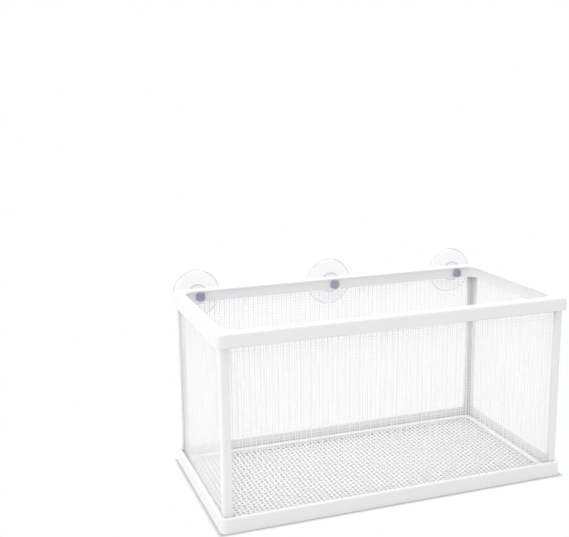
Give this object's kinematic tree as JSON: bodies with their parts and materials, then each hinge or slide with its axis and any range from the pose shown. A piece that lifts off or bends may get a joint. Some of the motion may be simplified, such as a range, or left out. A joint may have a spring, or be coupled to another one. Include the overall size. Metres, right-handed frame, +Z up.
{
  "type": "fish breeding box",
  "caption": "Open-top net box with moulded top and bottom frames, corner posts and clear suction cups that hold it on aquarium glass.",
  "frame": {"origin": "on the table, under the middle of the whole object's bounding box", "axes": "+Z up, +X along the length, +Y towards the suction cups at the back"},
  "size_m": [0.268, 0.1396, 0.153],
  "materials": {
    "white_plastic": "smooth satin moulded plastic",
    "net": "fine woven nylon mesh",
    "clear_pvc": "clear soft glossy"
  },
  "bodies": {
    "box": {"top_rim": "white_plastic", "top_clamp_ring": "white_plastic", "bottom_ring": "white_plastic", "floor_clamp_frame": "white_plastic", "post_front_left": "white_plastic", "post_front_right": "white_plastic", "post_back_left": "white_plastic", "post_back_right": "white_plastic", "net_front": "net", "net_back": "net", "net_left": "net", "net_right": "net", "net_floor": "net"},
    "cup_left": {"suction_cup_left": "clear_pvc"},
    "cup_middle": {"suction_cup_middle": "clear_pvc"},
    "cup_right": {"suction_cup_right": "clear_pvc"}
  },
  "joints": [
    {"name": "cup_left_spin", "type": "hinge", "parent": "box", "child": "cup_left", "pos_m": [-0.112, 0.06325, 0.134], "axis": [0, 1, 0], "continuous": true},
    {"name": "cup_middle_spin", "type": "hinge", "parent": "box", "child": "cup_middle", "pos_m": [0, 0.06325, 0.134], "axis": [0, 1, 0], "continuous": true},
    {"name": "cup_right_spin", "type": "hinge", "parent": "box", "child": "cup_right", "pos_m": [0.112, 0.06325, 0.134], "axis": [0, 1, 0], "continuous": true}
  ]
}
